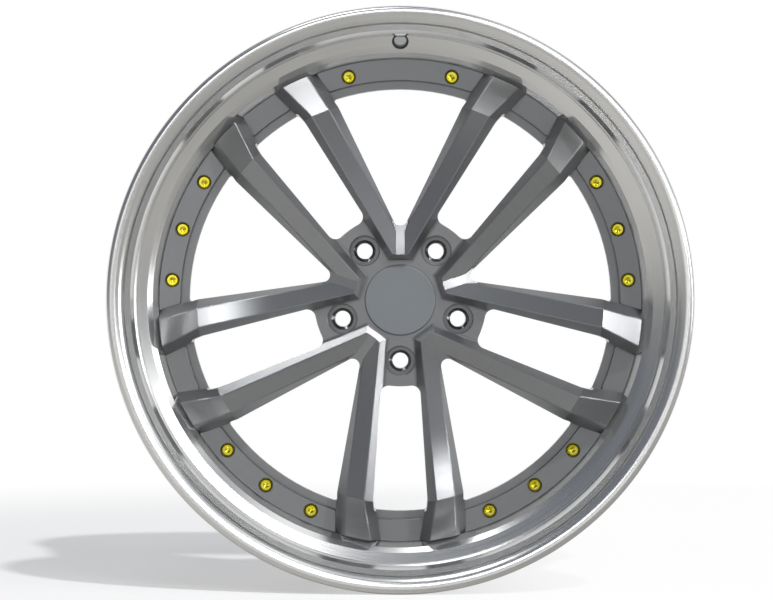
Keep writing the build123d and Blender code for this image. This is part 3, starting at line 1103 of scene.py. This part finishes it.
class Room(NodeTree):
    """The node tree of the room round the wheel, which is the scene's world."""

    def __init__(self, name: str) -> None:
        """Starts the room.

        Args:
            name: the world's name.
        """
        world = bpy.data.worlds.new(name)
        world.use_nodes = True
        bpy.context.scene.world = world
        super().__init__(world.node_tree)

    def wall(self, **values: object) -> Socket:
        """Adds a bright background.

        Args:
            values: its Color and its Strength, sockets or plain values.

        Returns:
            The background's socket.
        """
        node = self.add("ShaderNodeBackground")
        for key, value in values.items():
            self.fill(node.inputs[key], value)
        return node.outputs[0]

    def together(self, first: Socket, second: Socket) -> Socket:
        """Adds two backgrounds up, and gives their sum's socket."""
        node = self.add("ShaderNodeAddShader")
        self.join(first, node.inputs[0])
        self.join(second, node.inputs[1])
        return node.outputs[0]


@dataclass
class Studio:
    """The white room: floor, backdrop colour and lights, in metres.

    The spans are where a passage begins and ends: floor_turn from the left grey to the right one along x, floor_fade
    from the floor near the wheel to the glowing white far off, room_turn from warm to cool by height and room_back
    from the grey before the wheel to the white behind it.
    """

    floor_height: float = -0.2715
    floor_size: float = 24.0
    floor_lines: int = 9
    floor_roughness: float = 0.9
    floor_white: Colour = (0.90, 0.90, 0.90)
    floor_left: Colour = (0.60, 0.585, 0.555)
    floor_right: Colour = (0.36, 0.352, 0.335)
    floor_turn: Span = (-0.4, 0.25)
    floor_fade: Span = (0.75, 1.5)
    # Painted light on the floor: its glow near the wheel lifts the shadow, and the right glow takes it away on the
    # right
    near_glow: float = 0.45
    right_glow: float = 0.95
    warm: Colour = (0.30, 0.288, 0.263)
    cool: Colour = (0.165, 0.177, 0.202)
    room_turn: Span = (-0.25, 0.25)
    room_back: Span = (0.0, 0.4)
    key_level: float = 2.0
    key_spread: float = 3.0
    key_towards: Point = (0.417, -0.72, 1.0)

    def build(self) -> None:
        """Makes the floor, the room's light and the lamps."""
        self.make_floor()
        self.make_room()
        self.hang_key()
        for lamp in SOFT_BOXES + AIMED_SPOTS:
            lamp.build()

    def make_floor(self) -> bpy.types.Object:
        """Lays the floor under the rim as a flat grid: white to the camera, and grey before the wheel to the metal.

        To the camera it also glows, far off by all and near the wheel by less, so that its shadow fades out.
        Near the wheel the glow is painted light that lifts the shadow; on the right it paints the shadow away.

        Returns:
            The floor.
        """
        count = self.floor_lines
        side = np.linspace(-self.floor_size / 2, self.floor_size / 2, count)
        x, y = np.meshgrid(side, side, indexing="ij")
        grid = np.stack([x, y, np.full_like(x, self.floor_height)], axis=-1)
        rank = np.arange(count * count).reshape(count, count)
        faces = np.stack([rank[:-1, :-1], rank[1:, :-1], rank[1:, 1:], rank[:-1, 1:]], axis=-1)
        floor = add_object("studio_floor", mesh_from("studio_floor", grid.reshape(-1, 3), faces.reshape(-1, 4)))
        shading = Shading("pale_floor")
        place = shading.parts(shading.place())
        seen = shading.seen_white(shading.number("GREATER_THAN", place["Y"], 0.0))
        rightward = shading.ramp(place["X"], self.floor_turn, ease=SMOOTHLY)
        grey = shading.between(rightward, self.floor_left, self.floor_right)
        shading.join(shading.between(seen, grey, self.floor_white), shading.shader.inputs["Base Color"])
        shading.settle(Roughness=self.floor_roughness, Specular_IOR_Level=0.0)
        distance = shading.vector("LENGTH", shading.place()).outputs["Value"]
        far = shading.ramp(distance, self.floor_fade, self.near_glow, ease=SMOOTHLY)
        # Painted light: the floor glows whiter towards the right, which takes its shadow away there
        beside = shading.number("MULTIPLY", rightward, self.right_glow)
        share = shading.number("MULTIPLY", shading.number("MAXIMUM", far, beside), seen)
        glow = shading.add("ShaderNodeEmission").outputs[0]
        surface = shading.mix(share, shading.shader.outputs[0], glow)
        shading.join(surface, shading.tree.nodes["Material Output"].inputs["Surface"])
        floor.data.materials.append(shading.material)
        return floor

    def make_room(self) -> None:
        """Colours the room: white to the camera, and for the metal white behind the wheel and grey before it.

        The grey is warm below and cool above, and each glow adds its level times e to the power of its tightness
        times the cosine to its middle less one.
        """
        room = Room("white_room")
        sight = room.add("ShaderNodeTexCoord").outputs["Generated"]
        place = room.parts(sight)
        light = room.wall(Color=room.between(room.ramp(place["Z"], self.room_turn), self.warm, self.cool))
        for glow in GLOWS:
            towards = room.vector("DOT_PRODUCT", sight, heading(glow.azimuth, glow.off_axle)).outputs["Value"]
            fall = room.number("MULTIPLY", room.number("SUBTRACT", towards, 1.0), glow.tightness)
            level = room.number("MULTIPLY", room.number("EXPONENT", fall), glow.level)
            light = room.together(light, room.wall(Strength=level))
        white = room.wall(Color=(1, 1, 1, 1))
        surface = room.mix(room.seen_white(room.ramp(place["Y"], self.room_back)), light, white)
        room.join(surface, room.tree.nodes["World Output"].inputs["Surface"])

    def hang_key(self) -> bpy.types.Object:
        """Hangs the small key light that throws the floor shadow to the left and back.

        Returns:
            The light.
        """
        data = bpy.data.lights.new("key_light", "SUN")
        data.energy = self.key_level
        data.angle = math.radians(self.key_spread)
        light = bpy.data.objects.new("key_light", data)
        light.visible_glossy = False
        light.rotation_euler = Vector(self.key_towards).to_track_quat("Z", "Y").to_euler()
        bpy.context.scene.collection.objects.link(light)
        return light


GLOWS = (
    Glow(azimuth=225, off_axle=14, level=4.2, tightness=60),
    Glow(azimuth=36, off_axle=12, level=0.7, tightness=60),
    Glow(azimuth=45, off_axle=47, level=1.0, tightness=60),
    Glow(azimuth=25, off_axle=67, level=1.4, tightness=40),
    Glow(azimuth=65, off_axle=67, level=1.4, tightness=40),
)

# The pieces that a lamp lights, or passes without a shadow
LIP = ("polished_outer_rim",)
LIP_SIDE = (*LIP, "gold_bolts", "grey_cap", "studio_floor")
SPOKES = ("brushed_centre",)
WHEEL = (*LIP, *SPOKES, "turned_inner_rim", "gold_bolts", "plain_nuts", "grey_cap", "cap_wire_ring", "sealant_bead")

# The boxes that the lip mirrors, and those that the spokes' end facets mirror
TOP_BOX = SoftBox(
    "top_box", azimuth=348, distance=1.6, front=-1.4, back=-0.6, width=0.56, level=3.0, lights=LIP_SIDE)
TOP_FACET_BOX = SoftBox(
    "top_facet_box", azimuth=352, distance=1.6, front=-0.45, back=-0.05, width=0.44, level=5.5, lights=SPOKES,
    passes=LIP)
SOFT_BOXES = (
    TOP_BOX,
    replace(TOP_BOX, name="right_box", azimuth=84),
    TOP_FACET_BOX,
    replace(TOP_FACET_BOX, name="right_facet_box", azimuth=80),
)

# The spots on the lip's wall and bead, and on the spokes' bevels, roots, valleys and crests
FACE_MIDDLE = (0.0, -0.10, 0.0)
LIP_SPOT = SpotKind(off_axle=34, distance=2.0, cone=120, radius=0.26, lights=LIP_SIDE)
BEAD_SPOT = SpotKind(off_axle=17, distance=2.0, cone=120, radius=0.2, lights=LIP)
BEVEL_SPOT = SpotKind(off_axle=120, distance=1.2, cone=10, radius=0.10, lights=SPOKES, passes=WHEEL)
ROOT_SPOT = SpotKind(off_axle=119, distance=1.2, cone=3, radius=0.02, lights=SPOKES, passes=WHEEL)
VALLEY_SPOT = SpotKind(off_axle=22, distance=1.2, cone=3, radius=0.02, lights=SPOKES)
CREST_SPOT = SpotKind(off_axle=38, distance=1.2, cone=4, radius=0.02, lights=SPOKES)
AIMED_SPOTS = (
    AimedSpot("top_lip_spot", LIP_SPOT, FACE_MIDDLE, azimuth=26, power=17),
    AimedSpot("right_lip_spot", LIP_SPOT, FACE_MIDDLE, azimuth=60, power=19),
    AimedSpot("left_bead_spot", BEAD_SPOT, FACE_MIDDLE, azimuth=330, power=6.0),
    AimedSpot("top_bead_spot", BEAD_SPOT, FACE_MIDDLE, azimuth=15, power=6.0),
    AimedSpot("right_bead_spot", BEAD_SPOT, FACE_MIDDLE, azimuth=60, power=6.0),
    AimedSpot("top_bevel_spot", BEVEL_SPOT, (-0.062, -0.095, -0.042), azimuth=336, power=6.0),
    AimedSpot("right_bevel_spot", BEVEL_SPOT, (-0.021, -0.095, -0.072), azimuth=96, power=6.0),
    AimedSpot("root_bevel_spot", ROOT_SPOT, (-0.024, -0.093, -0.033), azimuth=36, power=5.0),
    AimedSpot("top_valley_spot", VALLEY_SPOT, (0.0, -0.095, 0.058), azimuth=0, power=4.6),
    AimedSpot("right_valley_spot", VALLEY_SPOT, (0.055, -0.095, 0.018), azimuth=72, power=7.5),
    AimedSpot("top_crest_spot", CREST_SPOT, (-0.172, -0.10, -0.015), azimuth=15, power=7.0),
    AimedSpot("right_crest_spot", CREST_SPOT, (0.046, -0.10, -0.172), azimuth=57, power=7.0),
)


def main() -> None:
    """Builds the wheel's pieces in order, then the studio round them."""
    logging.basicConfig(level=logging.INFO, format="%(message)s")
    bpy.context.scene.view_settings.view_transform = "Standard"
    PhotoCamera().build()
    bolts = BoltCircle()
    OuterRim().build(bolts, ValveHole())
    InnerRim().build(bolts)
    for solid in COPIED_SOLIDS:
        solid.build()
    Studio().build()


if __name__ == "__main__":
    main()
